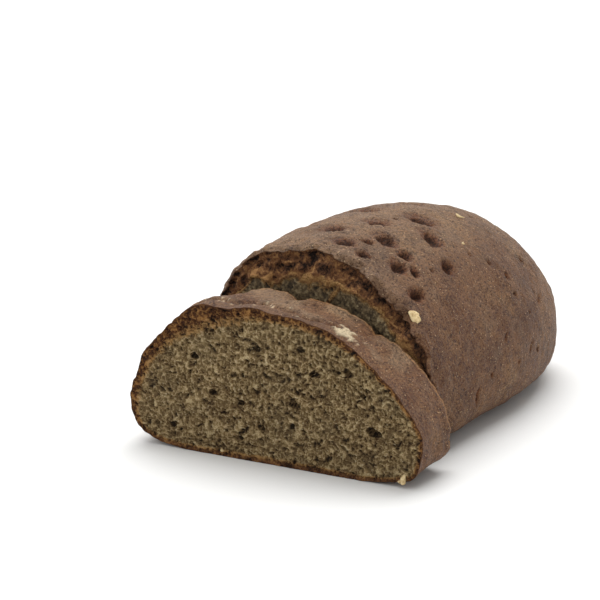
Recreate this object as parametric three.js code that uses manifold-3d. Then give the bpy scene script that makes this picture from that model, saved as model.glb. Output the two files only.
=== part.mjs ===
// A dark rye loaf, cut across: the uncut half and one thick slice that stands
// against its cut face. Millimetres, +Z up. The loaf lies along +Y, its cut face
// looks along -Y, and the slice stands in front of that face. The origin is on
// the table under the middle of the whole group.
import * as THREE from 'three';
import { mergeVertices } from 'three/addons/utils/BufferGeometryUtils.js';
import Module from 'manifold-3d';

// Half loaf: its cross-section at the cut, and its length to the rounded end.
const LOAF_CUT_WIDTH = 97;
const LOAF_CUT_HEIGHT = 71;
const LOAF_LENGTH = 141;
const LOAF_WIDEST = 0.3; // height of the widest line, as a share of the height
const LOAF_LEAN = 0; // sideways lean of the crown, as a share of the half width
const LOAF_ROUND = { right: 1.84, left: 2.57, base: 3.6 }; // superellipse powers
const LOAF_CROWN_SWELL = 0.11; // how far the crown rises between the cut and the end
const LOAF_END = { along: 3.45, width: 2.58, height: 2.32, under: 8, underRound: 2.2 };

// Slice: cut from the wider middle of the same loaf.
const SLICE_WIDTH = 115;
const SLICE_HEIGHT = 56.5;
const SLICE_THICKNESS = 25;
const SLICE_WIDEST = 0.24;
const SLICE_LEAN = -0.15;
const SLICE_ROUND = { right: 1.89, left: 2.06, base: 3.8 };
const SLICE_TURN = THREE.MathUtils.degToRad(6); // about +Z, out of line with the loaf
const NEAREST_GAP = 1; // between the slice's back and the loaf's cut face

// Docking holes pricked in the crown: [distance behind the cut, distance right of the middle]
const DOCKING_HOLES = [
  [12, 4], [18, 24], [23, -8], [27, 13], [32, -25], [37, 1],
  [41, 31], [46, 20], [48, -33], [54, -14], [55, 9], [68, -28],
];
const HOLE_RADIUS = 2.8;
const HOLE_DEPTH = 2.4;
const HOLE_SIDES = 10;

const SECTION_POINTS = 56;
const LOAF_STEPS = 26;
const SLICE_STEPS = 2;
const LAST_STEP = 0.985; // the end closes with a small flat facet short of the pole
const UNDERSIDE_PRESS = 1.04; // the underside is pressed flat on the oven floor

const power = (base, exponent) => Math.sign(base) * Math.abs(base) ** exponent;

// Outline of a loaf section: a superellipse, flat underneath, widest at `widest`.
function sectionShape(width, height, widest, lean, round) {
  const halfWidth = width / 2;
  const waist = widest * height;
  const points = [];
  for (let i = 0; i < SECTION_POINTS; i += 1) {
    const angle = (2 * Math.PI * i) / SECTION_POINTS;
    const across = Math.cos(angle);
    const up = Math.sin(angle);
    if (up >= 0) {
      const n = across >= 0 ? round.right : round.left;
      const rise = up ** (2 / n);
      const x = halfWidth * (power(across, 2 / n) + lean * rise ** 2);
      points.push(new THREE.Vector2(x, waist + (height - waist) * rise));
    } else {
      const drop = UNDERSIDE_PRESS * (-up) ** (2 / round.base);
      const x = halfWidth * power(across, 2 / round.base);
      points.push(new THREE.Vector2(x, Math.max(0, waist * (1 - drop))));
    }
  }
  return new THREE.Shape(points);
}

// Extrudes a section along +Y from its cut face at y = 0.
function extrudeAlongY(shape, length, steps) {
  const geometry = new THREE.ExtrudeGeometry(shape, { depth: length, steps, bevelEnabled: false });
  geometry.rotateX(Math.PI / 2);
  geometry.translate(0, length, 0);
  return geometry;
}

// Draws the extruded section in towards the rounded far end of the loaf.
function roundEnd(geometry) {
  const waist = LOAF_WIDEST * LOAF_CUT_HEIGHT;
  const position = geometry.getAttribute('position');
  for (let i = 0; i < position.count; i += 1) {
    const along = Math.sin((position.getY(i) / LOAF_LENGTH) * LAST_STEP * (Math.PI / 2));
    const swell = 1 + LOAF_CROWN_SWELL * 4 * along * (1 - along);
    const taper = 1 - along ** LOAF_END.along;
    const wide = taper ** (1 / LOAF_END.width);
    const high = taper ** (1 / LOAF_END.height) * swell;
    const lift = (1 - along ** LOAF_END.under) ** (1 / LOAF_END.underRound);
    const low = Math.min(1, UNDERSIDE_PRESS * lift);
    const z = position.getZ(i) - waist;
    position.setX(i, position.getX(i) * wide);
    position.setY(i, LOAF_LENGTH * along);
    position.setZ(i, waist + z * (z > 0 ? high : low));
  }
  return geometry;
}

const wasm = await Module();
wasm.setup();

function toSolid(geometry) {
  const bare = geometry.clone();
  bare.deleteAttribute('normal');
  bare.deleteAttribute('uv');
  const merged = mergeVertices(bare, 1e-4);
  return new wasm.Manifold(new wasm.Mesh({
    numProp: 3,
    vertProperties: new Float32Array(merged.getAttribute('position').array),
    triVerts: new Uint32Array(merged.getIndex().array),
  }));
}

function toGeometry(solid) {
  const { vertProperties, triVerts } = solid.getMesh();
  const geometry = new THREE.BufferGeometry();
  geometry.setAttribute('position', new THREE.BufferAttribute(vertProperties, 3));
  geometry.setIndex(new THREE.BufferAttribute(triVerts, 1));
  geometry.computeVertexNormals();
  return geometry;
}

// Where a plumb line meets the crust, and which way the crust faces there.
function crustAt(crust, right, along) {
  const above = new THREE.Vector3(right, along, 2 * LOAF_CUT_HEIGHT);
  const hit = new THREE.Raycaster(above, new THREE.Vector3(0, 0, -1)).intersectObject(crust)[0];
  return { point: hit.point, outward: hit.face.normal };
}

// Pricks the docking holes: shallow cones, each with its point into the loaf.
function prick(geometry) {
  const crust = new THREE.Mesh(geometry);
  const coneAxis = new THREE.Vector3(0, 1, 0);
  let loaf = toSolid(geometry);
  for (const [along, right] of DOCKING_HOLES) {
    const { point, outward } = crustAt(crust, right, along);
    const cone = new THREE.ConeGeometry(2 * HOLE_RADIUS, 2 * HOLE_DEPTH, HOLE_SIDES);
    const inward = outward.clone().negate();
    cone.applyQuaternion(new THREE.Quaternion().setFromUnitVectors(coneAxis, inward));
    cone.translate(point.x, point.y, point.z);
    loaf = loaf.subtract(toSolid(cone));
  }
  return toGeometry(loaf);
}

function makeHalfLoaf() {
  const shape = sectionShape(LOAF_CUT_WIDTH, LOAF_CUT_HEIGHT, LOAF_WIDEST, LOAF_LEAN, LOAF_ROUND);
  const crust = new THREE.MeshStandardMaterial({ color: 0x4a3029, roughness: 0.6, metalness: 0 });
  const mesh = new THREE.Mesh(prick(roundEnd(extrudeAlongY(shape, LOAF_LENGTH, LOAF_STEPS))), crust);
  mesh.name = 'half_loaf';
  return mesh;
}

// The slice, with the middle of its back face's lower edge at its own origin.
function makeSlice() {
  const shape = sectionShape(SLICE_WIDTH, SLICE_HEIGHT, SLICE_WIDEST, SLICE_LEAN, SLICE_ROUND);
  const geometry = extrudeAlongY(shape, SLICE_THICKNESS, SLICE_STEPS);
  geometry.translate(0, -SLICE_THICKNESS, 0);
  const crumb = new THREE.MeshStandardMaterial({ color: 0x6b5a3e, roughness: 0.9, metalness: 0 });
  const mesh = new THREE.Mesh(geometry, crumb);
  mesh.name = 'slice';
  return mesh;
}

const halfLoaf = makeHalfLoaf();
const slice = makeSlice();

// The slice turns about +Z, and stands off so that its back just clears the loaf's side.
slice.rotation.z = SLICE_TURN;
slice.position.y = -NEAREST_GAP - (LOAF_CUT_WIDTH / 2) * Math.tan(SLICE_TURN);

const group = new THREE.Group();
group.add(halfLoaf, slice);

// The origin goes to the middle of the underside of the whole group.
const box = new THREE.Box3().setFromObject(group, true);
const middle = box.getCenter(new THREE.Vector3());
for (const mesh of group.children) {
  mesh.position.sub(new THREE.Vector3(middle.x, middle.y, box.min.z));
}
group.updateMatrixWorld(true);

export default group;
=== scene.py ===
"""A dark rye loaf, cut across, with one thick slice standing at its cut face.

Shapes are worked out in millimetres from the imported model's boxes and go into meshes in
metres. Each piece of bread is one closed mesh: a skin of crust in rings, and cut faces filled
with fine triangles that the pores are pressed into.
"""
import math
import bpy
import numpy as np
from mathutils import Matrix, Vector
from mathutils.geometry import delaunay_2d_cdt


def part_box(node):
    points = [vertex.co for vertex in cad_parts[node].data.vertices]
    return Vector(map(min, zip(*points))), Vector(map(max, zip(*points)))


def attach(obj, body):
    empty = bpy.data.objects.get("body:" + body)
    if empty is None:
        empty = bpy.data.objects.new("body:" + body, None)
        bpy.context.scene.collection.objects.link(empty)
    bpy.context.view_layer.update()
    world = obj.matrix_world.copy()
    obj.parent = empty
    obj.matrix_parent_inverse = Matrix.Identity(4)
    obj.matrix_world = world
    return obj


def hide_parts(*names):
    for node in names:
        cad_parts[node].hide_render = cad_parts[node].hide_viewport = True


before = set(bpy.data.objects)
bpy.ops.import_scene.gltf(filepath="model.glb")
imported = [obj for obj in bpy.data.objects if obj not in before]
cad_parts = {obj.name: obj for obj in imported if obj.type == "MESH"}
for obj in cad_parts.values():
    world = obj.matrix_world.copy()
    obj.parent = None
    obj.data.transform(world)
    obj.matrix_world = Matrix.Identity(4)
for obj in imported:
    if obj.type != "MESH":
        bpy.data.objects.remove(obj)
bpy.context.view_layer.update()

MM = 0.001
scene = bpy.context.scene

# ---- noise

# odd numbers that scatter the bits of whole numbers, and masks that keep the low bits
SCATTER_X, SCATTER_Y, SCATTER_Z, SCATTER_SEED = 374761393, 668265263, 1440662683, 974711
STIRS = ((13, 1274126177), (15, 2246822519))
LOW_32_BITS, LOW_24_BITS = 0xFFFFFFFF, 0xFFFFFF


def lattice(ix, iy, iz, seed):
    """A repeatable random number from 0 to 1 for each whole-number point."""
    h = (ix * SCATTER_X + iy * SCATTER_Y + iz * SCATTER_Z + seed * SCATTER_SEED) & LOW_32_BITS
    for shift, factor in STIRS:
        h = ((h ^ (h >> shift)) * factor) & LOW_32_BITS
    return ((h ^ (h >> 16)) & LOW_24_BITS) / LOW_24_BITS


def noise(points, size, seed):
    """Smooth noise from -1 to 1 with features of about `size`."""
    p = points / size
    cell = np.floor(p).astype(np.int64)
    f = p - cell
    f = f * f * f * (f * (f * 6 - 15) + 10)
    total = np.zeros(len(p))
    for corner in range(8):
        dx, dy, dz = corner & 1, (corner >> 1) & 1, (corner >> 2) & 1
        weight = np.where(dx, f[:, 0], 1 - f[:, 0])
        weight = weight * np.where(dy, f[:, 1], 1 - f[:, 1])
        weight = weight * np.where(dz, f[:, 2], 1 - f[:, 2])
        total += weight * lattice(cell[:, 0] + dx, cell[:, 1] + dy, cell[:, 2] + dz, seed)
    return 2 * total - 1


SEED_STEP = 17  # from one octave to the next
SPREAD = 1.6  # brings a sum of octaves back to about -1..1


def fractal(points, size, octaves, seed, gain=0.5):
    """Noise with finer noise on top, from about -1 to 1."""
    total, scale, weight = 0, 1, 0
    for octave in range(octaves):
        total = total + scale * noise(points, size / 2**octave, seed + SEED_STEP * octave)
        weight += scale
        scale *= gain
    return total / weight * SPREAD


def smooth(low, high, value):
    """0 at `low`, 1 at `high` and smooth between; `low` may be the larger."""
    t = np.clip((value - low) / (high - low), 0, 1)
    return t * t * (3 - 2 * t)


# ---- the shared section shape

PRESS = 1.04  # the underside is pressed flat on the oven floor
UNDERSIDE = 1.5  # what lies lower than this is the underside


def section(angle, width, height, widest, lean, rounds):
    """Outline of a loaf section: a superellipse, flat underneath. Gives x and z."""
    across, up = np.cos(angle), np.sin(angle)
    waist = widest * height
    n = np.where(up >= 0, np.where(across >= 0, rounds["right"], rounds["left"]), rounds["base"])
    side = np.sign(across) * np.abs(across) ** (2 / n)
    rise = np.abs(up) ** (2 / n)
    x = width / 2 * (side + np.where(up >= 0, lean * rise**2, 0))
    crown = waist + (height - waist) * rise
    z = np.where(up >= 0, crown, waist * (1 - np.minimum(1, PRESS * rise)))
    return x, z


def even_angles(shape, spacing, under_spacing):
    """Angles that put points evenly along an outline, further apart underneath."""
    dense = np.linspace(0, 2 * math.pi, 4001)
    x, z = shape(dense)
    low = (z[1:] + z[:-1]) / 2 < UNDERSIDE
    step = np.hypot(np.diff(x), np.diff(z)) / np.where(low, under_spacing, spacing)
    length = np.concatenate([[0], np.cumsum(step)])
    count = max(12, int(round(length[-1])))
    return np.interp(np.arange(count) / count * length[-1], length, dense)


# ---- mesh building


def zip_rings(first, angles, second, other_angles):
    """Triangles between two closed rings of points, each sorted by angle, facing out."""
    triangles = []
    n, m = len(angles), len(other_angles)
    turn = 2 * math.pi
    i = j = 0
    while i < n or j < m:
        next_i = angles[(i + 1) % n] + turn * ((i + 1) // n)
        next_j = other_angles[(j + 1) % m] + turn * ((j + 1) // m)
        a, b = first + i % n, second + j % m
        if j >= m or (i < n and next_i <= next_j):
            triangles.append((a, b, first + (i + 1) % n))
            i += 1
        else:
            triangles.append((a, b, second + (j + 1) % m))
            j += 1
    return triangles


def inside(points, outline):
    """Which points lie inside a closed outline."""
    x, z = points[:, :1], points[:, 1:]
    ax, az = outline[:, 0], outline[:, 1]
    bx, bz = np.roll(ax, -1), np.roll(az, -1)
    crosses = (az > z) != (bz > z)
    slope = (bx - ax) / np.where(bz == az, 1e-9, bz - az)
    left_of = x < ax + (z - az) * slope
    return (crosses & left_of).sum(1) % 2 == 1


def edge_distance(points, outline):
    """Distance of each point from a closed outline, and the index of the nearest outline point."""
    distance, nearest = [], []
    for part in np.array_split(points, max(1, len(points) // 4000)):
        d = np.hypot(part[:, :1] - outline[:, 0], part[:, 1:] - outline[:, 1])
        nearest.append(d.argmin(1))
        distance.append(d.min(1))
    return np.concatenate(distance), np.concatenate(nearest)


# of a filled outline's inner points, as shares of their spacing
JITTER, EDGE_CLEARANCE = 0.2, 0.55


def fill_outline(outline, spacing, seed, edge, first):
    """Fills an outline with even triangles. Gives the inner points and the triangles, where
    the outline's points have the numbers `edge` and the inner points count up from `first`."""
    rng = np.random.default_rng(seed)
    low, high = outline.min(0), outline.max(0)
    row = spacing * math.sqrt(3) / 2
    xs = np.arange(low[0], high[0], spacing)
    zs = np.arange(low[1], high[1], row)
    x, z = np.meshgrid(xs, zs)
    x = x + (np.arange(len(zs)) % 2)[:, None] * spacing / 2
    points = np.column_stack([x.ravel(), z.ravel()])
    points += rng.uniform(-JITTER, JITTER, points.shape) * spacing
    points = points[inside(points, outline)]
    points = points[edge_distance(points, outline)[0] > EDGE_CLEARANCE * spacing]
    everything = np.vstack([outline, points])
    edges = [(i, (i + 1) % len(outline)) for i in range(len(outline))]
    made = delaunay_2d_cdt([Vector(p) for p in everything.tolist()], edges, [], 1, 1e-5)
    ids = np.concatenate([edge, first + np.arange(len(points))])
    source = np.array([s[0] for s in made[3]])
    return points, ids[source[np.array(made[2])]]


def at_depth(flat, y):
    """Flat points, x and z, as points in space at one distance along the loaf."""
    return np.column_stack([flat[:, 0], np.full(len(flat), y), flat[:, 1]])


def vertex_normals(points, triangles):
    """Which way the surface faces at each point, weighted by the area of its triangles."""
    corners = points[triangles]
    face = np.cross(corners[:, 1] - corners[:, 0], corners[:, 2] - corners[:, 0])
    normals = np.zeros_like(points)
    for k in range(3):
        for axis in range(3):
            normals[:, axis] += np.bincount(triangles[:, k], face[:, axis], len(points))
    return normals / np.maximum(1e-12, np.linalg.norm(normals, axis=1))[:, None]


def make_piece(name, points, triangles, values, material):
    """A mesh object from points in millimetres, with named values at each point."""
    points[:, 2] = np.maximum(points[:, 2], 0)  # nothing goes below the table
    mesh = bpy.data.meshes.new(name)
    mesh.from_pydata((points * MM).tolist(), [], triangles.tolist())
    for key, value in values.items():
        attribute = mesh.attributes.new(key, "FLOAT", "POINT")
        attribute.data.foreach_set("value", np.asarray(value, np.float32))
    mesh.shade_smooth()
    mesh.materials.append(material)
    piece = bpy.data.objects.new(name, mesh)
    scene.collection.objects.link(piece)
    return piece


# ---- crumb

# what each point stores; bread_material says what they mean
VALUES = ("skin", "rim", "pore", "foam", "dip", "flour", "torn", "ledge", "edge", "grey")
PORE_CELL = 0.12  # the grid that pores are stamped on
# radius range, pores per square millimetre, depth as a share of the radius
PORE_SIZES = ((0.7, 1.1, 0.008, 0.85), (0.42, 0.8, 0.14, 0.9), (0.27, 0.45, 0.55, 1.1))
BIG_PORE_DEPTH = 1.5  # of the placed pores, as a share of the radius
FOAM_DEPTH = 0.45  # of the hollows between strands
DEEP = 3  # the "rim" value goes no higher than this


def turned(a, b, angle):
    """Two coordinates, or two axes, in a frame turned by an angle in radians."""
    c, s = math.cos(angle), math.sin(angle)
    return a * c + b * s, b * c - a * s


def stamp(relief, origin, x, z, radius, depth, stretch, turn):
    """Presses one oval pore into the relief."""
    reach = radius * stretch
    c0, c1 = (int((v - reach) / PORE_CELL) for v in (x - origin[0], z - origin[1]))
    c0, c1 = max(0, c0), max(0, c1)
    size = int(2 * reach / PORE_CELL) + 2
    window = relief[c1 : c1 + size, c0 : c0 + size]
    if not window.size:
        return
    px = origin[0] + (c0 + np.arange(window.shape[1])) * PORE_CELL - x
    pz = origin[1] + (c1 + np.arange(window.shape[0]))[:, None] * PORE_CELL - z
    u, v = turned(px, pz, turn)
    u, v = u / (radius * stretch), v / (radius / math.sqrt(stretch))
    bowl = depth * np.sqrt(np.clip(1 - u * u - v * v, 0, 1))
    np.maximum(window, bowl, out=window)


def crumb_relief(outline, seed, big_pores=()):
    """How deep the pores go at any point of a cut face: a function of points in millimetres."""
    rng = np.random.default_rng(seed)
    origin = outline.min(0) - 2
    span = outline.max(0) + 2 - origin
    relief = np.zeros((int(span[1] / PORE_CELL) + 1, int(span[0] / PORE_CELL) + 1))
    for smallest, largest, density, depth in PORE_SIZES:
        count = int(density * span[0] * span[1])
        xs = origin[0] + rng.uniform(0, span[0], count)
        zs = origin[1] + rng.uniform(0, span[1], count)
        radii = rng.uniform(smallest, largest, count)
        stretches = rng.uniform(1, 2.4, count)
        turns = rng.normal(-0.3, 0.7, count)
        depths = radii * depth * rng.uniform(0.6, 1.25, count)
        for pore in zip(xs, zs, radii, depths, stretches, turns):
            stamp(relief, origin, *pore)
    for x, z, radius, stretch, turn in big_pores:
        stamp(relief, origin, x, z, radius, BIG_PORE_DEPTH * radius, stretch, math.radians(turn))

    def depth_at(points):
        warp = np.column_stack([points, np.zeros(len(points))])
        bend = np.column_stack([noise(warp, 1.1, seed + 5), noise(warp, 1.1, seed + 9)])
        g = (points + 0.3 * bend - origin) / PORE_CELL
        g = np.clip(g, 0, np.array(relief.shape[::-1]) - 1.001)
        i = g.astype(int)
        f = g - i
        column, row = i[:, 0], i[:, 1]
        near = relief[row, column] * (1 - f[:, 0]) + relief[row, column + 1] * f[:, 0]
        far = relief[row + 1, column] * (1 - f[:, 0]) + relief[row + 1, column + 1] * f[:, 0]
        return near * (1 - f[:, 1]) + far * f[:, 1]

    return depth_at


def strands(points, seed):
    """The curly strands between fine bubbles: 1 along a strand and 0 in a hollow."""
    place = np.column_stack([points, np.zeros(len(points))])
    bend = np.column_stack([noise(place, 1.3, seed + k) for k in range(3)])
    place = place + 0.5 * bend
    wide = smooth(0.36, 0.04, np.abs(noise(place, 1.35, seed + 3)))
    fine = smooth(0.34, 0.04, np.abs(noise(place, 0.95, seed + 4)))
    return np.maximum(wide, 0.8 * fine)


MIDDLE = 0.4  # height that compass angles are taken from, as a share of the section's height


def compass(x, z, middle_z):
    """Angle in degrees round the middle of a section: 0 is right and 90 is up."""
    return np.degrees(np.arctan2(z - middle_z, x)) % 360


def by_angle(x, z, height, table):
    """A number from a table of compass angles and numbers."""
    return np.interp(compass(x, z, MIDDLE * height), *zip(*table), period=360)


def follow_edge(points, bare, inner, outline_ids, outline, reach):
    """Moves a cut face's points near its edge along with the edge. Gives the smooth face's
    flat points and their distances from the edge."""
    flat = bare[inner][:, [0, 2]]
    distance, nearest = edge_distance(flat, outline)
    shift = (points - bare)[outline_ids][nearest]
    points[inner] += shift * (1 - smooth(0, reach, distance))[:, None]
    return flat, distance


# ---- materials

MIX_A, MIX_B, MIX_RESULT = 6, 7, 2  # a Mix node's sockets for colours


class Nodes:
    """Short calls that add shader nodes to one material."""

    def __init__(self, name):
        self.material = bpy.data.materials.new(name)
        self.material.use_nodes = True
        self.tree = self.material.node_tree
        self.tree.nodes.clear()
        output = self.add("OutputMaterial")
        self.shader = self.add("BsdfPrincipled")
        self.put(self.shader.outputs[0], output.inputs[0])
        self.place = self.add("TexCoord").outputs["Object"]

    def put(self, value, socket):
        """Links another node's output to a socket, or sets a constant on it."""
        if isinstance(value, bpy.types.NodeSocket):
            self.tree.links.new(value, socket)
        else:
            socket.default_value = value

    def add(self, kind, **sockets):
        """A new node, with its sockets by name."""
        node = self.tree.nodes.new("ShaderNode" + kind)
        for name, value in sockets.items():
            self.put(value, node.inputs[name.replace("_", " ")])
        return node

    def shade(self, socket, value):
        """Sets one of the main shader's own sockets."""
        self.put(value, self.shader.inputs[socket])

    def value(self, name):
        """A value stored at the mesh's points."""
        node = self.add("Attribute")
        node.attribute_name = name
        return node.outputs["Fac"]

    def noise(self, size, detail=3, rough=0.55, distortion=0, stretch=(1, 1, 1)):
        """Noise with features of about `size` millimetres."""
        place = self.place
        if stretch != (1, 1, 1):
            place = self.add("Mapping", Scale=stretch, Vector=place).outputs[0]
        node = self.add("TexNoise", Vector=place, Scale=1 / (size * MM), Detail=detail,
                        Roughness=rough, Distortion=distortion)
        return node.outputs["Fac"]

    def cells(self, size):
        """Distance to the nearest of scattered points about `size` millimetres apart."""
        node = self.add("TexVoronoi", Vector=self.place, Scale=1 / (size * MM))
        return node.outputs["Distance"]

    def math(self, operation, a, b=0.5, c=0):
        node = self.add("Math")
        node.operation = operation
        for value, socket in zip((a, b, c), node.inputs):
            self.put(value, socket)
        return node.outputs[0]

    def times(self, a, b):
        return self.math("MULTIPLY", a, b)

    def fit(self, value, scale, offset):
        return self.math("MULTIPLY_ADD", value, scale, offset)

    def span(self, value, low, high, start=0, end=1):
        """Maps low..high smoothly to start..end."""
        node = self.add("MapRange", Value=value, From_Min=low, From_Max=high,
                        To_Min=start, To_Max=end)
        node.interpolation_type = "SMOOTHSTEP"
        return node.outputs[0]

    def away(self, value, middle):
        """How far a value is from a middle one, either way."""
        return self.math("ABSOLUTE", self.math("SUBTRACT", value, middle))

    def dots(self, apart, low, high, patch, patch_low, patch_high):
        """1 in round dots about `apart` millimetres apart, only in patches."""
        dot = self.span(self.cells(apart), low, high, 1, 0)
        return self.times(dot, self.span(self.noise(patch, 2), patch_low, patch_high))

    def ramp(self, value, stops):
        """A colour ramp: each stop is a position and an sRGB colour of 0..255."""
        node = self.add("ValToRGB")
        elements = node.color_ramp.elements
        while len(elements) < len(stops):
            elements.new(0.5)
        for element, (position, colour) in zip(elements, stops):
            element.position = position
            element.color = linear(colour)
        self.put(value, node.inputs[0])
        return node.outputs[0]

    def mix(self, share, a, b):
        """The colour `a` where share is 0 and `b` where it is 1."""
        node = self.add("Mix")
        node.data_type = "RGBA"
        self.put(share, node.inputs[0])
        self.put(linear(a) if isinstance(a, tuple) else a, node.inputs[MIX_A])
        self.put(linear(b) if isinstance(b, tuple) else b, node.inputs[MIX_B])
        return node.outputs[MIX_RESULT]

    def bump(self, height, distance, strength=1):
        """Relief of up to `distance` millimetres."""
        node = self.add("Bump", Distance=distance * MM, Strength=strength, Height=height)
        self.shade("Normal", node.outputs[0])


def linear(colour):
    """An sRGB colour of 0..255 as a linear colour with alpha."""
    def channel(c):
        c = c / 255
        return c / 12.92 if c <= 0.04045 else ((c + 0.055) / 1.055) ** 2.4
    return (*[channel(c) for c in colour], 1)


# tones from dark to light: a place on the ramp and an sRGB colour of 0..255; the dark ends of the
# crumb and band ramps are painted shade in pores and hollows
CRUMB_TONES = (
    (0, (42, 31, 19)), (0.2, (80, 62, 40)), (0.46, (120, 98, 66)), (0.72, (162, 137, 96)),
    (1, (224, 202, 156)),
)
BAND_TONES = (
    (0, (30, 18, 11)), (0.28, (62, 38, 23)), (0.58, (100, 64, 36)), (1, (184, 134, 76)),
)
# the torn band's ramp: its near-black end is partly painted shadow in pockets under the crust's edge
BURNT_AND_SHADED_TONES = (
    (0.26, (36, 25, 20)), (0.36, (88, 60, 43)), (0.52, (138, 95, 62)), (0.78, (204, 154, 98)),
)
CRUST_TONES = ((0.34, (97, 62, 40)), (0.5, (123, 85, 56)), (0.68, (144, 108, 74)))
FLAKE_TONES = ((0.3, (168, 136, 92)), (0.5, (208, 184, 138)), (0.7, (232, 214, 172)))
TINT = {
    "olive crumb": (104, 96, 76),
    "ashen crumb": (108, 104, 94),
    "brown bran": (150, 112, 68),
    "pale bran": (222, 206, 168),
    "dark shell": (54, 32, 23),
    "light shell": (112, 72, 46),
    # the torn band's ridge line: a painted highlight where the raised ridge catches the light
    "dull ridge": (128, 88, 48),
    "bright ridge": (212, 168, 108),
    "fringe": (190, 142, 82),
    "ashen crust": (123, 101, 81),
    "crust grain": (64, 38, 26),
    "crust blotch": (70, 42, 31),
    "warm grain": (154, 116, 82),
    "pale speck": (212, 180, 136),
    "dark spot": (44, 25, 18),
    "hair crack": (66, 40, 29),
    # holes, pits and creases: the dark tints are painted shade in the hollows, the warm ones partly
    # real colour
    "dark halo": (66, 38, 27),
    "warm halo": (132, 84, 54),
    "dark hole": (50, 31, 22),
    "warm hole": (98, 60, 39),
    "broken edge": (172, 124, 72),
    "flour": (216, 197, 162),
}
CRUMB_ROUGHNESS, GLOSSIEST_CRUST = 0.92, 0.36
GRAIN_STRETCH = (1, 0.75, 1)  # the crust's grains are drawn out along the loaf


def crumb_colour(n, shaded_tone, foam, ashen):
    """Light strands over olive-brown hollows and pores darkened as painted shade, greyish in places,
    with grains of bran; the greying on the half loaf's cut face is painted shade.
    """
    crumb = n.ramp(shaded_tone, CRUMB_TONES)
    olive = n.span(n.noise(9, 3, 0.5), 0.44, 0.68, 0, 0.3)
    crumb = n.mix(olive, crumb, n.mix(0.5, crumb, TINT["olive crumb"]))
    # this greying shows on the half loaf's cut crumb, where it is painted shade
    ashen = n.times(ashen, 0.6)
    crumb = n.mix(ashen, crumb, n.mix(0.5, crumb, TINT["ashen crumb"]))
    bran = n.span(n.cells(1.5), 0.1, 0.3, 1, 0)
    bran = n.times(bran, n.span(foam, 0.3, 0.8, 0, 0.6))
    pale = n.span(n.noise(4, 2), 0.42, 0.58)
    return n.mix(bran, crumb, n.mix(pale, TINT["brown bran"], TINT["pale bran"]))


def band_colour(n, shaded_tone, rim):
    """The crust band of a cut face: warm brown and porous, its pores darkened as painted shade, with
    a thin dark shell outside.
    """
    shell = n.span(rim, 0.02, 0.2, 0.6, 0)
    outer = n.mix(n.noise(1.1, 3), TINT["dark shell"], TINT["light shell"])
    return n.mix(shell, n.ramp(shaded_tone, BAND_TONES), outer)


def burnt_and_shaded_patches(n, rim, ledge):
    """How light a torn band is: lighter on its standing ledges and darker in its hollows and next to
    the crust's edge, which is painted light and shade, and varied at random in patches and fine
    grains.
    """
    patch = n.fit(n.noise(4.2, 5, 0.7, 0.8), 1.5, -0.22)
    # standing ledges lighter: painted light and shade on the band's relief
    patch = n.fit(ledge, 0.17, patch)
    # darker next to the crust's edge: painted shadow under its overhang
    patch = n.math("ADD", patch, n.span(rim, 0.1, 0.9, -0.12, 0))
    return n.fit(n.math("SUBTRACT", n.noise(0.9, 3, 0.7), 0.5), 0.7, patch)


def burnt_colour_with_ridge_highlight(n, rim, wander, patch, fine):
    """The torn band: near black to orange-brown, with a bright broken ridge where it ends, which is a
    painted highlight on the raised ridge.
    """
    # painted highlight along the raised ridge where the torn band ends
    ridge = n.span(n.away(n.fit(wander, 0.25, rim), 1), 0.02, 0.12, 1, 0)
    ridge = n.times(ridge, n.span(n.noise(5, 2), 0.38, 0.5, 0.15, 1))
    bright = n.mix(n.span(fine, 0.35, 0.62), TINT["dull ridge"], TINT["bright ridge"])
    return n.mix(ridge, n.ramp(patch, BURNT_AND_SHADED_TONES), bright)


def crust_colour(n, mottle, hair, ashen):
    """The baked outside: warm brown, cloudy, with fine light and dark grains and hair cracks."""
    crust = n.ramp(n.noise(20, 4, 0.6), CRUST_TONES)
    cloud = n.span(n.noise(8, 4, 0.65), 0.5, 0.68, 0, 0.4)
    ashen = n.math("MAXIMUM", cloud, n.times(ashen, 0.35))
    crust = n.mix(ashen, crust, TINT["ashen crust"])
    crust = n.mix(n.span(mottle, 0.4, 0.54, 0.9, 0), crust, TINT["crust grain"])
    blotch = n.span(n.noise(3.6, 4, 0.7), 0.36, 0.5, 0.36, 0)
    crust = n.mix(blotch, crust, TINT["crust blotch"])
    warm = n.span(n.noise(0.62, 2, 0.7, stretch=GRAIN_STRETCH), 0.52, 0.64, 0, 0.6)
    crust = n.mix(warm, crust, TINT["warm grain"])
    specks = n.times(n.dots(1.2, 0.1, 0.26, 2.7, 0.5, 0.56), 0.8)
    crust = n.mix(specks, crust, TINT["pale speck"])
    spots = n.times(n.dots(3.2, 0.06, 0.3, 4.3, 0.48, 0.58), 0.85)
    crust = n.mix(spots, crust, TINT["dark spot"])
    return n.mix(hair, crust, TINT["hair crack"])


def marked_crust(n, crust, mottle, dip, edge, flour):
    """The crust with its docking holes, pits and creases darkened as painted shade, in halos that are
    warm real colour and darker on the hole walls as painted shade, ochre broken edges and floury
    places.
    """
    # halos on the outer walls of holes and pits: warm real colour, darker as painted shade
    halo = n.span(n.noise(2, 4, 0.7), 0.42, 0.58, 0.2, 1)
    halo = n.times(n.span(dip, 0.05, 0.22), halo)
    grainy = n.mix(n.span(mottle, 0.4, 0.62), TINT["dark halo"], TINT["warm halo"])
    crust = n.mix(halo, crust, grainy)
    # dark hole bottoms and creases: painted shade
    grainy = n.mix(n.span(mottle, 0.42, 0.66), TINT["dark hole"], TINT["warm hole"])
    crust = n.mix(n.span(dip, 0.22, 0.66, 0, 0.9), crust, grainy)
    edge = n.times(edge, n.span(mottle, 0.4, 0.54, 0.1, 0.85))
    crust = n.mix(edge, crust, TINT["broken edge"])
    flour = n.times(flour, n.span(mottle, 0.34, 0.5))
    return n.mix(flour, crust, TINT["flour"])


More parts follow.
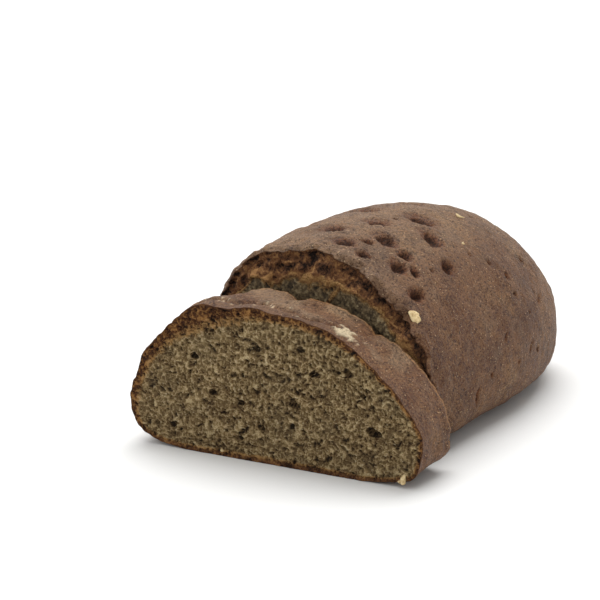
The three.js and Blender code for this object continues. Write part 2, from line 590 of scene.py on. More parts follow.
def bread_material(name):
    """Crust and crumb in one: the stored values say where each shows.

    skin is 1 on the baked outside and 0 on cut faces; rim is 0 at the outer edge of a cut face,
    1 where its crust band ends, and more further in; pore is how deep a pore goes and foam is 1 on
    the crumb's strands, and both darken the hollows as painted shade; dip is how deep a docking
    hole, pit or crease goes, and darkens it as painted shade; flour marks pale floury places; torn
    is 1 where a band is burnt and torn, ledge is its relief, which lightens standing ledges as
    painted light and shade; edge is 1 on a broken edge of the crust; grey is 1 where the crust is
    ashen and on the half loaf's cut crumb, where the greying is painted shade.
    """
    n = Nodes(name)
    skin, rim, pore, foam, dip, flour, torn, ledge, edge, grey = (n.value(key) for key in VALUES)

    fine = n.noise(0.45, 3, 0.75)
    # the crumb's tone: lighter on strands, darker in the hollows between them and in pores by their
    # depth, which is painted shade in the recesses, with fine noise on top
    shaded_tone = n.fit(foam, 0.45, 0.4)
    shaded_tone = n.fit(n.span(pore, 0, 0.7), -0.46, shaded_tone)
    shaded_tone = n.fit(n.math("SUBTRACT", fine, 0.5), 0.95, shaded_tone)
    wander = n.fit(n.noise(2.6, 4, 0.65), 1.1, -0.55)
    depth = n.math("ADD", rim, wander)
    patch = burnt_and_shaded_patches(n, rim, ledge)
    mottle = n.noise(0.75, 3, 0.75, stretch=GRAIN_STRETCH)
    # hair cracks run where a noise has its middle value, and only in places
    hair = n.span(n.away(n.noise(8, 4, 0.6, 0.6), 0.5), 0, 0.018, 1, 0)
    hair = n.times(hair, n.span(n.noise(17, 2), 0.46, 0.58, 0, 0.8))

    crumb = crumb_colour(n, shaded_tone, foam, grey)
    cut = n.mix(n.span(depth, 0.55, 1.35), band_colour(n, shaded_tone, rim), crumb)
    fringe = n.span(n.away(depth, 1), 0.04, 0.34, 0.5, 0)
    cut = n.mix(n.times(fringe, n.span(shaded_tone, 0.3, 0.6)), cut, TINT["fringe"])
    cut = n.mix(torn, cut, burnt_colour_with_ridge_highlight(n, rim, wander, patch, fine))
    crust = marked_crust(n, crust_colour(n, mottle, hair, grey), mottle, dip, edge, flour)
    n.shade("Base Color", n.mix(skin, cut, crust))

    gloss = n.fit(mottle, 0.3, GLOSSIEST_CRUST)
    roughness = n.times(skin, n.math("SUBTRACT", gloss, CRUMB_ROUGHNESS))
    n.shade("Roughness", n.math("ADD", roughness, CRUMB_ROUGHNESS))
    n.shade("Specular IOR Level", 0.2)

    grain = n.math("ADD", n.noise(0.8, 4, 0.75), n.times(mottle, 1.3))
    grain = n.fit(hair, -0.8, grain)
    fluff = n.times(n.math("ADD", fine, n.times(torn, patch)), 1.6)
    fluff = n.times(n.math("SUBTRACT", 1, skin), fluff)
    n.bump(n.math("ADD", n.times(skin, grain), fluff), 0.7)
    return n.material


def flake_material():
    """Pale husk and crumb, a little uneven."""
    n = Nodes("grain_flake")
    n.shade("Base Color", n.ramp(n.noise(0.9, 4, 0.7), FLAKE_TONES))
    n.shade("Roughness", 0.75)
    n.shade("Specular IOR Level", 0.2)
    n.bump(n.noise(0.5, 3), 0.2, 0.8)
    return n.material


# ---- the slice

SLICE_TURN = math.radians(6)  # out of line with the loaf
SLICE_WIDEST, SLICE_LEAN = 0.24, -0.15
SLICE_ROUND = {"right": 1.89, "left": 2.06, "base": 3.8}
# compass angle round the face and the crust band's thickness there
SLICE_BAND = (
    (0, 1.4), (30, 1.6), (60, 2.4), (85, 3), (110, 4.4), (130, 6.6), (150, 7), (165, 5),
    (180, 2.8), (200, 1.6), (225, 2), (270, 2.2), (315, 2), (340, 1.4),
)
# bigger holes in the front face: x from the middle, z, radius, stretch, turn in degrees
SLICE_HOLES = (
    (39.2, 18.1, 2, 1.6, -12), (-4.7, 13, 1.2, 1.2, 0), (7.7, 15.3, 1.2, 1.1, 20),
    (34.9, 30.7, 1, 2.2, -40), (15.9, 35.8, 1.4, 1.3, 15), (29.4, 37.8, 1.5, 1.3, -25),
    (-24.6, 23.3, 1.3, 1.2, 0), (-40.6, 8.8, 1.2, 1.2, 30), (-47.8, 8.5, 1, 1.1, 0),
    (-31.8, 35.6, 1.4, 1.3, -10), (-6.6, 41.7, 1.4, 1.3, 10), (10.8, 43.8, 1.2, 1.3, -15),
    (8.5, 23.5, 1.5, 1.5, -8), (31.4, 33.4, 0.6, 3.4, -38), (35.2, 33, 0.6, 3.8, -42),
    (-12.8, 21, 1.3, 1.4, 10), (24.8, 37.8, 0.9, 2, -20), (38.5, 27.5, 0.6, 3, -48),
)
# how far the front edge stands out of the smooth section, by compass angle
FRONT_BUMPS = (
    (3, 0.4), (8, -0.5), (20, -1.1), (32, -0.4), (43, 0.9), (56, 0.9), (70, -0.2), (90, 0),
    (101, -0.4), (118, -1.4), (126, 0), (132, 1.5), (140, 0.9), (149, -0.3), (157, -0.9),
    (170, 0.2), (178, -0.3), (185, 1.2), (190, 0.8), (195, -0.8), (199, -0.9), (205, 0.3),
    (215, 0), (330, 0), (340, 0.4), (345, -0.9), (351, -0.2), (356, 0.8),
)
# the back edge is torn in lobes: how far it stands out, by distance right of the middle
BACK_LOBES = (
    (-50, 0.2), (-43, 0.5), (-37, -0.4), (-31, -1.3), (-26, -2.4), (-24.5, -2.2), (-22.6, -0.7),
    (-17, 0), (-10, -0.3), (-4.5, -1.6), (-2.5, -2.6), (-1, -2.2), (3, -0.8), (9, -0.2),
    (18, 0.1), (24, 0.3), (27, -0.4), (29, -1.5), (31, -0.8), (36, 0), (46, 0),
)
LOBE_RELIEF = 1.35
FURROW = 0.32  # where a furrow runs along the top of the rim, as a share of the thickness
# a scuffed pale patch on the rim: right of the middle, share of the thickness, radius
PATCH = (24, 0.24, 3.7)
SPECKS = 16
FRONT_SPACING, BACK_SPACING, RIM_SPACING = 0.3, 0.65, 0.7
STILL = 1.2  # below this height the rim stands on the table and keeps its shape


def slice_size():
    """Width, height, thickness and middle of the slice, from its box and its turn."""
    low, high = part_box("slice")
    c, s = math.cos(SLICE_TURN), math.sin(SLICE_TURN)
    ex, ey = (high.x - low.x) / MM, (high.y - low.y) / MM
    width = (ex * c - ey * s) / (c * c - s * s)
    thick = (ey * c - ex * s) / (c * c - s * s)
    middle = (low + high) / 2 / MM
    return width, high.z / MM, thick, middle


def rim_flour(rim, share, across, top, thick, height):
    """Where the rim is dusted and specked with flour, and where its scuffed patch is."""
    x, z = rim[:, 0], rim[:, 2]
    rng = np.random.default_rng(71)
    flour = 0.15 * top * smooth(0, 1.5, across) * smooth(-0.6, 0.4, noise(rim, 7, 75))
    places, offsets = rng.uniform(-34, 12, SPECKS), rng.normal(0, 1.6, SPECKS)
    for place, offset, radius in zip(places, offsets, rng.uniform(0.3, 0.7, SPECKS)):
        near = (x - place) ** 2 + (across - offset) ** 2
        speck = smooth(radius**2, 0.3 * radius**2, near) * (z > 0.5 * height)
        flour = np.maximum(flour, speck)
    right, back, radius = PATCH
    patch = np.hypot((x - right) * 0.8, (share - back) * thick) / radius
    patch = patch * (1 + 0.5 * fractal(rim, 2, 3, 72)) + 9 * (z < 0.5 * height)
    scuff = smooth(1.1, 0.75, patch)
    return np.maximum(flour, scuff), scuff


def slice_rim(rim, thick, height, values):
    """How far the slice's rim stands out: lumps, lobes, a furrow and floury specks."""
    x, y, z = rim.T
    share = y / thick
    top = smooth(0.55, 0.75, z / height)
    lumps = 0.55 * fractal(rim, 11, 3, 7) + 0.28 * fractal(rim, 3.2, 3, 8) * smooth(0, 0.3, share)
    lumps += by_angle(x, z, height, FRONT_BUMPS) * (1 - smooth(0, 0.8, share))
    lobes = np.interp(x, *zip(*BACK_LOBES)) * top
    lumps += LOBE_RELIEF * lobes * smooth(0.45, 1, share)
    path = FURROW + 0.12 * noise(rim * [1, 0, 0], 10, 61) + 0.05 * noise(rim * [1, 0, 0], 3, 62)
    across = (share - path) * thick
    run = top * smooth(-46, -34, x) * smooth(34, 16, x)
    lumps += (0.9 * smooth(-0.2, 2, across) - 0.6 * np.exp(-(across / 0.8) ** 2)) * run
    flour, scuff = rim_flour(rim, share, across, top, thick, height)
    lumps += scuff * (0.5 + 0.6 * fractal(rim, 1.6, 2, 73)) + 0.2 * flour
    lumps += 0.22 * fractal(rim, 1.9, 2, 74) * smooth(0.12, 0, share)
    on_rim = slice(len(rim))
    values["grey"][on_rim] = smooth(0.6, -0.6, across) * run
    values["flour"][on_rim] = flour
    values["edge"][on_rim] = smooth(thick - 2.4, thick - 0.8, y)
    return lumps * np.where(z < STILL, 0, 1)


def smooth_slice(width, height, thick):
    """The slice before any relief: points, triangles, outline, number of rings, and each cut
    face's inward way, points, edge and pores."""
    def shape(angle):
        return section(angle, width, height, SLICE_WIDEST, SLICE_LEAN, SLICE_ROUND)

    angles = even_angles(shape, RIM_SPACING, RIM_SPACING)
    outline = np.column_stack(shape(angles))
    count, rings = len(angles), int(thick / RIM_SPACING) + 1
    points = np.vstack([at_depth(outline, y) for y in np.linspace(0, thick, rings)])
    triangles = []
    for ring in range(rings - 1):
        triangles += zip_rings(ring * count, angles, (ring + 1) * count, angles)
    back = (rings - 1) * count
    faces = []
    for inward, y, first, spacing, seed, holes in (
        (1, 0, 0, FRONT_SPACING, 3, SLICE_HOLES),
        (-1, thick, back, BACK_SPACING, 4, ()),
    ):
        edge = first + np.arange(count)
        inner, fill = fill_outline(outline, spacing, seed, edge, len(points))
        triangles += fill[:, ::inward].tolist()
        face = slice(len(points), len(points) + len(inner))
        points = np.vstack([points, at_depth(inner, y)])
        faces.append((inward, face, edge, crumb_relief(outline, seed, holes)))
    return points, np.array(triangles), outline, rings, faces


def make_slice(material):
    width, height, thick, middle = slice_size()
    points, triangles, outline, rings, faces = smooth_slice(width, height, thick)
    bare = points.copy()
    count = len(outline)
    rim = bare[: rings * count]
    values = {key: np.zeros(len(points)) for key in VALUES}
    values["skin"][count : len(rim) - count] = 1
    out = np.tile(vertex_normals(bare, triangles)[count : 2 * count] * [1, 0, 1], (rings, 1))
    points[: len(rim)] += out * slice_rim(rim, thick, height, values)[:, None]
    # the two edges are ragged, the back one more
    wave = fractal(rim * [1, 0, 1], 4, 4, 9, 0.7)
    near_back, near_front = smooth(thick - 5, thick, rim[:, 1]), smooth(2.5, 0, rim[:, 1])
    points[: len(rim), 1] -= near_back * (0.9 + 1.1 * wave) - near_front * (0.15 + 0.2 * wave)

    for inward, inner, edge, relief in faces:
        flat, distance = follow_edge(points, bare, inner, edge, outline, 5)
        share = distance / by_angle(*flat.T, height, SLICE_BAND)
        pore, foam = relief(flat), strands(flat, 33)
        wobble = 0.3 * fractal(bare[inner], 14, 3, 31) - 0.25 * smooth(1.3, 0.6, share)
        press = (pore + FOAM_DEPTH * (1 - foam)) * smooth(0.1, 0.8, distance)
        points[inner, 1] += inward * (press + wobble * smooth(0, 3, distance))
        values["rim"][inner] = np.minimum(share, DEEP)
        values["pore"][inner] = pore
        values["foam"][inner] = foam
        values["torn"][inner] = 0.7 * smooth(0.9, 0.3, share) * smooth(7, 2, flat[:, 1])

    # into the row's frame
    points[:, 1] -= thick / 2
    turn = np.array(Matrix.Rotation(SLICE_TURN, 3, "Z"))
    points = points @ turn.T + [middle.x, middle.y, 0]
    return make_piece("rye_slice", points, triangles, values, material)


# ---- the half loaf

LOAF_WIDEST, LOAF_LEAN = 0.3, 0
LOAF_ROUND = {"right": 1.84, "left": 2.57, "base": 3.6}
LOAF_CROWN_SWELL = 0.11
LOAF_END = {"along": 3.45, "width": 2.58, "height": 2.32, "under": 8, "under_round": 2.2}
LOAF_BAND = (
    (0, 4), (30, 5.5), (55, 8), (80, 10.5), (100, 11), (125, 9), (150, 6), (180, 3.5),
    (215, 2.2), (270, 2.2), (325, 2.2), (345, 3),
)
# docking holes: distance behind the cut, distance right of the middle, radius, stretch, turn
DOCKING_HOLES = (
    (37.4, 1.3, 3, 1.5, 0), (55.2, 9.6, 3.6, 1.5, 10), (26.5, 12.6, 3.2, 1.4, -5),
    (46.4, 20.4, 3.4, 1.3, 0), (17.7, 23.9, 2.7, 1.1, 10), (25.4, 21.7, 2.1, 1.6, 25),
    (22.7, 27.6, 1.7, 1.4, -20), (41.1, 31, 2.6, 1.2, 0), (15, 33.3, 2.3, 1.3, 70),
    (10, 13.3, 1.8, 1.2, 0), (18.9, 9.3, 1.5, 1.6, 20), (12.2, 3.9, 2.4, 1.5, 5),
    (53.7, -14.4, 3.4, 1.5, 0), (23.3, -8.4, 3, 1.4, 0), (10.6, 3.7, 1.4, 1.3, 0),
    (32, -25, 3, 1.3, 0), (48, -33, 2.8, 1.3, 15), (68, -28, 3.1, 1.3, 0), (74, -6, 2.8, 1.4, 0),
)
# smaller pits: distance behind the cut, distance right of the middle, radius
PITS = (
    (58.3, 29, 0.9), (67.7, 32.6, 0.9), (74, 36.6, 1.1), (98.1, 30.4, 1.1), (30.9, 29.5, 0.7),
    (45.3, 4.6, 0.9), (74.4, 40.3, 0.9), (81.4, 42.8, 0.8), (45.3, 48.2, 0.9), (66.7, 47.1, 0.9),
    (85, 45.1, 0.8), (34.7, 48.3, 0.8), (108, -12, 1), (96, -30, 1.2), (88, 12, 0.9), (120, 8, 1.1),
    (84, -18, 0.8), (62, -41, 0.9), (36, -40, 1), (112, -30, 0.8), (104, 20, 0.8), (128, -8, 0.9),
)
# short creases: distance behind the cut, right of the middle, height; length, slope in degrees
CREASES = (
    (78.2, 45.9, 24.1, 7, 35), (34.7, 48.3, 15.7, 10, 75), (58, 46, 33, 6, 50), (96, 40, 38, 8, 20),
    (118, 26, 40, 9, 60), (64, -47, 31, 40, 5), (80, -44, 43, 26, 9), (88, -44, 20, 24, 174),
    (122, -18, 34, 12, 20), (40, -44, 46, 12, 12),
)
# how far the broken edge of the crust stands out at the cut, by compass angle
LOAF_CHIPS = (
    (0, 0), (10, 0.3), (17, 0.6), (23, 0.9), (29, -0.2), (33, -1.5), (38, -0.6), (41, -0.1),
    (49, -0.7), (57, 1), (63, -0.2), (71, -1), (79, 0.1), (86, 0.7), (94, 0.5), (102, -0.2),
    (110, -0.7), (125, 0.3), (151, -0.6), (165, 0.2), (180, 0),
)
# a raised strand across the crumb: its two ends on the cut face
LOAF_STRAND = ((9.7, 59), (1, 47))
PIT_STRETCH = 1.2
HOLE_SWELL = 1.15  # holes are pressed in this much wider than their dark bottoms
HOLE_DEPTH = 2.9
# narrower holes than these are shallower, or have a lower brim
FULL_DEPTH_RADIUS, FULL_BRIM_RADIUS = 1.7, 2.4
DOME_SPACING, FACE_SPACING, UNDER_SPACING = 0.68, 0.5, 1.8


def loaf_size():
    """Width, height at the cut, length, middle and cut's place of the half loaf, from its box."""
    low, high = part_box("half_loaf")
    along = np.linspace(0, 1, 400)
    crown = ((1 - along ** LOAF_END["along"]) ** (1 / LOAF_END["height"])
             * (1 + LOAF_CROWN_SWELL * 4 * along * (1 - along))).max()
    height = high.z / MM / (LOAF_WIDEST + (1 - LOAF_WIDEST) * crown)
    return (high.x - low.x) / MM, height, (high.y - low.y) / MM, (low.x + high.x) / 2 / MM, low.y / MM


def loaf_ring(angle, along, width, height):
    """Outline of the half loaf at a station: 0 is the cut, 1 the tip of the rounded end."""
    x, z = section(angle, width, height, LOAF_WIDEST, LOAF_LEAN, LOAF_ROUND)
    waist = LOAF_WIDEST * height
    swell = 1 + LOAF_CROWN_SWELL * 4 * along * (1 - along)
    taper = max(0, 1 - along ** LOAF_END["along"])
    high = taper ** (1 / LOAF_END["height"]) * swell
    low = min(1, PRESS * max(0, 1 - along ** LOAF_END["under"]) ** (1 / LOAF_END["under_round"]))
    return x * taper ** (1 / LOAF_END["width"]), waist + (z - waist) * np.where(z > waist, high, low)


def loaf_stations(width, height, length):
    """Stations that are evenly spaced over the crust, closer where it turns down at the end."""
    along = np.sin(np.linspace(0, math.pi / 2, 1500)) * 0.9995
    key = np.array([0, math.pi / 2, math.pi])
    path = np.array([np.concatenate(loaf_ring(key, a, width, height)) for a in along])
    moves = np.abs(np.diff(path, axis=0)).max(1)
    step = np.hypot(moves, np.diff(along) * length)
    distance = np.concatenate([[0], np.cumsum(step)])
    count = int(distance[-1] / DOME_SPACING)
    return np.interp(np.linspace(0, distance[-1], count), distance, along)


def segment_distance(points, start, end):
    """Distance of flat points from a straight stretch."""
    start, run = np.array(start), np.subtract(end, start)
    share = np.clip((points - start) @ run / (run @ run), 0, 1)
    return np.linalg.norm(points - start - share[:, None] * run, axis=1)


def crease(crust, normals, behind, right, up, length, slope):
    """How deep one short crease is at each point of the crust."""
    at = np.linalg.norm(crust - [right, behind, up], axis=1).argmin()
    along = np.cross(normals[at], [0, 0, 1])
    along /= np.linalg.norm(along)
    across = np.cross(normals[at], along)
    off = crust - crust[at]
    u, v = (off @ axis for axis in turned(along, across, math.radians(slope)))
    near = (np.abs(u) < length) & (np.abs(v) < 10) & (np.abs(off @ normals[at]) < 8)
    u, v, place = u[near], v[near], crust[near]
    v = v + 0.05 * length * noise(place, 13, 55) + 0.9 * noise(place, 4, 53)
    v = v + 0.4 * noise(place, 1.6, 54)
    wide = (0.5 + 0.014 * length) * (1 + 0.5 * noise(place, 5, 56))
    depth = np.zeros(len(crust))
    ends = smooth(0.5 * length, 0.15 * length, np.abs(u))
    depth[near] = np.exp(-((v / wide) ** 2)) * ends * (0.8 + 0.032 * length)
    return depth


def docking_hole(crust, behind, right, radius, stretch, turn, height):
    """How deep one pricked hole is at each point of the crust, and where its raised brim is."""
    low_side = crust[:, 2] < LOAF_WIDEST * height * 0.6
    centre = crust[(np.hypot(crust[:, 0] - right, crust[:, 1] - behind) + 1e6 * low_side).argmin()]
    off = crust - centre
    u, v = turned(off[:, 0], off[:, 1], math.radians(turn))
    u = u / stretch
    r = np.sqrt(u * u + v * v + off[:, 2] ** 2) / radius
    near = r < 3
    r[near] *= 1 + 0.28 * fractal(crust[near], 2.4, 3, 51)
    core = np.sqrt((u - 0.2 * radius) ** 2 + (v + 0.15 * radius) ** 2 + off[:, 2] ** 2) / radius
    core[near] *= 1 + 0.3 * fractal(crust[near], 1.6, 2, 52)
    hollow = 0.4 * np.exp(-((r / 1.15) ** 2)) + 0.6 * smooth(1, 0.35, core)
    return hollow, np.exp(-(((r - 1.45) / 0.35) ** 2))


def smooth_loaf(width, height, length):
    """The half loaf before any relief: points, triangles, the cut's outline, and how many
    points are on the crust. Those come first."""
    rings, triangles, total, previous = [], [], 0, None
    for along in loaf_stations(width, height, length):
        def shape(angle, along=along):
            return loaf_ring(angle, along, width, height)
        angles = even_angles(shape, DOME_SPACING, UNDER_SPACING)
        rings.append(at_depth(np.column_stack(shape(angles)), along * length))
        if previous is not None:
            triangles += zip_rings(*previous, total, angles)
        previous = (total, angles)
        total += len(angles)
    rings.append(rings[-1].mean(0)[None])
    start, angles = previous
    triangles += [(start + i, total, start + (i + 1) % len(angles)) for i in range(len(angles))]
    on_crust = total + 1

    outline = rings[0][:, [0, 2]]
    inner, fill = fill_outline(outline, FACE_SPACING, 11, np.arange(len(outline)), on_crust)
    triangles += fill.tolist()
    return np.vstack([*rings, at_depth(inner, 0)]), np.array(triangles), outline, on_crust


def loaf_crust(crust, normals, height, values):
    """How far the loaf's crust stands out: lumps, holes, creases and its broken edge."""
    behind, up = crust[:, 1], crust[:, 2]
    lumps = 0.6 * fractal(crust, 24, 3, 41) + 0.12 * fractal(crust, 7, 2, 45)
    lumps = lumps + 0.22 * fractal(crust, 2.8, 3, 42)
    dip = np.zeros(len(crust))
    for *place, radius, stretch, turn in DOCKING_HOLES + tuple((*p, PIT_STRETCH, 0) for p in PITS):
        hollow, brim = docking_hole(crust, *place, HOLE_SWELL * radius, stretch, turn, height)
        dip = np.maximum(dip, hollow * min(1, radius / FULL_DEPTH_RADIUS))
        lumps = lumps + 0.25 * brim * min(1, radius / FULL_BRIM_RADIUS)
    creased = sum(crease(crust, normals, *place) for place in CREASES)
    lumps = lumps - creased
    # the crust beside the cut is broken and lifts a little
    chips = by_angle(crust[:, 0], up, height, LOAF_CHIPS)
    chips = chips + 0.45 * fractal(crust * [1, 0, 1], 4.5, 3, 43)
    lumps = lumps + chips * smooth(8, 0, behind) - 1.3 * smooth(3.2, 0, behind) ** 2
    lumps = lumps + 0.6 * fractal(crust, 4, 3, 46) * smooth(13, 3, behind)
    ashen = smooth(14, 2, behind + 3 * fractal(crust, 8, 3, 47)) * smooth(40, 55, up)
    on_crust = slice(len(crust))
    values["grey"][on_crust] = ashen
    values["flour"][on_crust] = 0.09 * smooth(0.55, 1, normals[:, 2]) * smooth(0.3, 0.05, dip)
    # dip also darkens holes, pits and creases in the crust's colour: painted shade
    values["dip"][on_crust] = np.maximum(dip, 0.45 * creased)
    return lumps * smooth(0.2, 4, up) - HOLE_DEPTH * dip


def loaf_cut(points, bare, inner, outline, height, values):
    """The cut face: a thick band of torn crust in ledges round a flat crumb."""
    face, edge = bare[inner], np.arange(len(outline))
    flat, distance = follow_edge(points, bare, inner, edge, outline, 10)
    share = distance / by_angle(*flat.T, height, LOAF_BAND)
    share = share * (1 + 0.22 * fractal(face, 9, 3, 20))
    pore, foam = crumb_relief(outline, 12)(flat), strands(1.3 * flat, 35)
    along = compass(*flat.T, 0.2 * height) * 0.8
    ledges = fractal(np.column_stack([along / 6, distance / 2.2, 0 * along]), 1, 4, 22, 0.6)
    ledges = 0.65 * ledges + 0.5 * fractal(face, 4.5, 4, 24, 0.6)
    in_band = smooth(1.1, 0.94, share)
    torn = 0.8 * smooth(0.6, 0.05, share) + 1.9 * ledges * smooth(0, 0.12, share) + 0.5
    ridge = -0.9 * np.exp(-((share - 1) / 0.09) ** 2) * smooth(-0.5, 0.3, noise(face, 6, 25))
    strand = segment_distance(flat + 0.8 * noise(face, 3, 26)[:, None], *LOAF_STRAND)
    ridge = ridge - 0.7 * np.exp(-((strand / 0.7) ** 2)) * (share > 1)
    rough = (pore + FOAM_DEPTH * (1 - foam)) * (1 - 0.5 * in_band) * smooth(0.1, 0.8, distance)
    points[inner, 1] += rough + (in_band * torn + ridge) * smooth(0, 1.5, distance)
    # the raised strand gets rim values near 1, so it takes the band's bright ridge line: a painted
    # highlight
    values["rim"][inner] = np.where(strand < 1, 1 + 0.12 * strand, np.minimum(share, DEEP))
    values["pore"][inner] = pore
    values["foam"][inner] = foam
    # the ledges' height also lightens the standing ledges in the band's colour: painted light and
    # shade
    values["ledge"][inner] = -ledges
    # greys the cut crumb: painted shade
    values["grey"][inner] = smooth(1, 1.4, share)
    values["torn"][inner] = np.maximum(smooth(1.16, 1.04, share), 0.8 * smooth(1.1, 0.6, strand))


def make_half_loaf(material):
    width, height, length, middle, cut = loaf_size()
    points, triangles, outline, on_crust = smooth_loaf(width, height, length)
    bare = points.copy()
    crust = bare[:on_crust]
    normals = vertex_normals(bare, triangles)[:on_crust]
    values = {key: np.zeros(len(points)) for key in VALUES}
    values["skin"][len(outline) : on_crust] = 1
    move = normals * loaf_crust(crust, normals, height, values)[:, None]
    move[: len(outline), 1] = 0
    points[:on_crust] += move
    ragged = 2.3 + 2.6 * fractal(crust * [1, 0, 1], 9, 5, 44, 0.65)
    ragged = np.maximum(0, ragged) * smooth(8, 30, crust[:, 2])
    points[:on_crust, 1] += ragged * smooth(7, 0, crust[:, 1])
    loaf_cut(points, bare, slice(on_crust, len(points)), outline, height, values)
    points += [middle, cut, 0]
    return make_piece("rye_half_loaf", points, triangles, values, material)


# ---- grain flakes

# on the loaf: distance behind the cut, right of the middle, height; length, width, turn in degrees
LOAF_FLAKES = (
    (5.9, 37.3, 51.6, 5.4, 4, 172),
    (79.1, 15.5, 74, 3.2, 1.8, 35),
    (61, 30, 70, 1.1, 0.9, 0),
)
# on the slice's front face: right of the middle, height; length, width, turn in degrees
SLICE_FLAKES = ((51.1, 3.8, 4, 2, 75), (49.4, 1.9, 1.8, 1.2, 20), (-20.5, 2.2, 1.6, 1, 0))
FLAKE_SIDES = 16
FLAKE_THICKNESS = 0.6
# rings from the top to the underside: radius, height
FLAKE_RINGS = ((0.45, 0.55), (0.85, 0.4), (1, 0), (0.85, -0.4), (0.45, -0.5))


def nearest_skin(piece, place):
    """The point of a piece nearest to a place, in millimetres, and the way its surface faces."""
    target = Vector(place) * MM
    vertex = min(piece.data.vertices, key=lambda v: (v.co - target).length_squared)
    return vertex.co / MM, vertex.normal


def make_flake(name, place, facing, length, width, turn, seed, material):
    """A thin, bent chip of husk with an uneven outline, lying on a surface."""
    rng = np.random.default_rng(seed)
    angle = np.arange(FLAKE_SIDES) / FLAKE_SIDES * 2 * math.pi
    radius = 1 + 0.16 * np.sin(2 * angle + rng.uniform(0, 6))
    radius = radius + 0.1 * np.sin(3 * angle + rng.uniform(0, 6))
    radius += rng.uniform(-0.1, 0.1, FLAKE_SIDES)
    rows = [np.array([[0, 0, 0.5]])]
    for share, up in FLAKE_RINGS:
        ring = np.column_stack([np.cos(angle), np.sin(angle)]) * (radius * share)[:, None]
        rows.append(np.column_stack([ring, np.full(FLAKE_SIDES, up)]))
    rows.append(np.array([[0, 0, -0.5]]))
    points = np.vstack(rows)
    points[:, 1] *= 1 - 0.5 * points[:, 0]
    bend = 0.5 * points[:, 0] ** 2 - 0.4 * points[:, 1] ** 2
    points[:, 2] += bend + rng.uniform(-0.12, 0.12, len(points))
    points *= [length / 2, width / 2, FLAKE_THICKNESS]
    triangles = []
    lowest = 1 + (len(FLAKE_RINGS) - 1) * FLAKE_SIDES
    for i in range(FLAKE_SIDES):
        j = (i + 1) % FLAKE_SIDES
        triangles.append((0, 1 + i, 1 + j))
        for a in range(1, lowest, FLAKE_SIDES):
            b = a + FLAKE_SIDES
            triangles += [(a + i, b + i, b + j), (a + i, b + j, a + j)]
        triangles.append((lowest + i, len(points) - 1, lowest + j))
    side = (Vector((1, 0, 0)) - facing * facing.x).normalized()
    side = Matrix.Rotation(math.radians(turn), 3, facing) @ side
    stand = np.array([side, facing.cross(side), facing])
    lift = np.array(facing) * 0.25 * FLAKE_THICKNESS
    points = points @ stand + np.array(place) + lift
    return make_piece(name, points, np.array(triangles), {}, material)


def make_flakes(half_loaf, rye_slice):
    material = flake_material()
    middle, cut = loaf_size()[3:]
    flakes = []
    for behind, right, up, *shape in LOAF_FLAKES:
        place, facing = nearest_skin(half_loaf, (middle + right, cut + behind, up))
        flakes.append((place, facing, shape))
    _, _, thick, centre = slice_size()
    turn = Matrix.Rotation(SLICE_TURN, 3, "Z")
    for right, up, *shape in SLICE_FLAKES:
        near = turn @ Vector((right, -thick / 2, up)) + Vector((centre.x, centre.y, 0))
        place, _ = nearest_skin(rye_slice, near)
        flakes.append((place, turn @ Vector((0, -1, 0.25)).normalized(), shape))
    for number, (place, facing, shape) in enumerate(flakes, 1):
        piece = make_flake(f"grain_flake_{number}", place, facing, *shape, number, material)
        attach(piece, "root")


# ---- camera, floor and light

CAMERA_AZIMUTH, CAMERA_ELEVATION = math.radians(34.15), math.radians(15.16)
CAMERA_DISTANCE = 0.826
CAMERA_AIM = (-0.0303, -0.0193, 0.0412)
CAMERA_LENS, CAMERA_SENSOR = 131, 36
FLOOR_RADIUS = 8
FLOOR_WHITE = (0.77, 0.77, 0.76, 1)
LIGHT_AIM = (0, 0, 0.03)
# the world's strength, by height in the sky
WORLD_FADE = {"From Min": 0.09, "From Max": 0.22, "To Min": 1, "To Max": 0.55}
SUN_STRENGTH, SUN_SPREAD = 3.5, math.radians(60)
FILL_POWER, FILL_SIZE = 2.2, 0.9


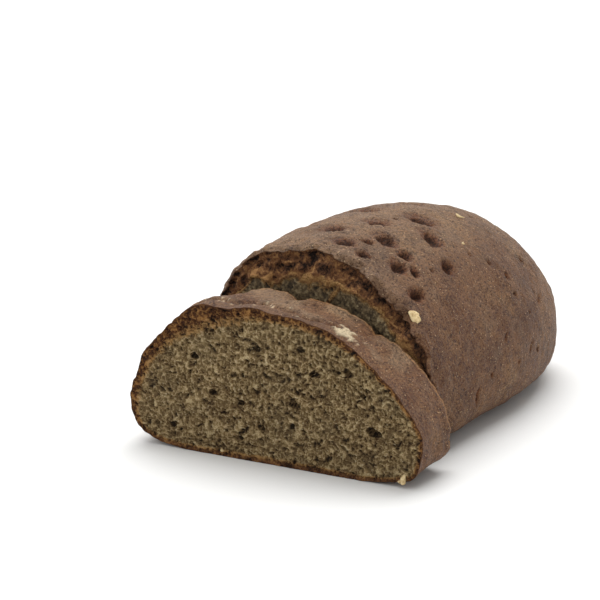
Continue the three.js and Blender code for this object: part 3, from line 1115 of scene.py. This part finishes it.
def make_camera():
    data = bpy.data.cameras.new("camera")
    data.lens, data.sensor_width = CAMERA_LENS, CAMERA_SENSOR
    camera = bpy.data.objects.new("camera", data)
    scene.collection.objects.link(camera)
    flat, up = math.cos(CAMERA_ELEVATION), math.sin(CAMERA_ELEVATION)
    back = Vector((math.sin(CAMERA_AZIMUTH) * flat, -math.cos(CAMERA_AZIMUTH) * flat, up))
    camera.location = Vector(CAMERA_AIM) + back * CAMERA_DISTANCE
    camera.rotation_euler = back.to_track_quat("Z", "Y").to_euler()
    scene.camera = camera


def make_floor():
    bpy.ops.mesh.primitive_circle_add(vertices=96, radius=FLOOR_RADIUS, fill_type="NGON")
    floor = bpy.context.object
    floor.name = "floor"
    n = Nodes("floor_white")
    n.shade("Base Color", FLOOR_WHITE)
    n.shade("Roughness", 0.9)
    n.shade("Specular IOR Level", 0.1)
    floor.data.materials.append(n.material)


def add_light(name, kind, place, power):
    """A light at a place, turned to face the bread."""
    data = bpy.data.lights.new(name, kind)
    data.energy = power
    light = bpy.data.objects.new(name, data)
    light.location = place
    light.rotation_euler = (Vector(place) - Vector(LIGHT_AIM)).to_track_quat("Z", "Y").to_euler()
    scene.collection.objects.link(light)
    return data


def make_light():
    scene.view_settings.view_transform = "Standard"
    # a white studio: as bright as the floor towards the horizon and dimmer overhead
    world = bpy.data.worlds.new("studio")
    world.use_nodes = True
    tree = world.node_tree
    split = tree.nodes.new("ShaderNodeSeparateXYZ")
    tree.links.new(tree.nodes.new("ShaderNodeTexCoord").outputs["Generated"], split.inputs[0])
    fade = tree.nodes.new("ShaderNodeMapRange")
    for key, number in WORLD_FADE.items():
        fade.inputs[key].default_value = number
    tree.links.new(split.outputs["Z"], fade.inputs["Value"])
    background = tree.nodes["Background"]
    background.inputs["Color"].default_value = (1, 1, 1, 1)
    tree.links.new(fade.outputs[0], background.inputs["Strength"])
    scene.world = world
    # a wide soft sun overhead and a little to the back left, and a weak fill in front
    overhead = add_light("overhead", "SUN", (-0.3, 0.48, 1.3), SUN_STRENGTH)
    overhead.angle = SUN_SPREAD
    fill = add_light("front_fill", "AREA", (-0.3, -1.1, 0.7), FILL_POWER)
    fill.shape, fill.size = "DISK", FILL_SIZE


make_camera()
make_floor()
make_light()

bread = bread_material("rye_bread")
rye_slice = make_slice(bread)
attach(rye_slice, "root")
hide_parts("slice")

half_loaf = make_half_loaf(bread)
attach(half_loaf, "root")
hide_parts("half_loaf")

make_flakes(half_loaf, rye_slice)
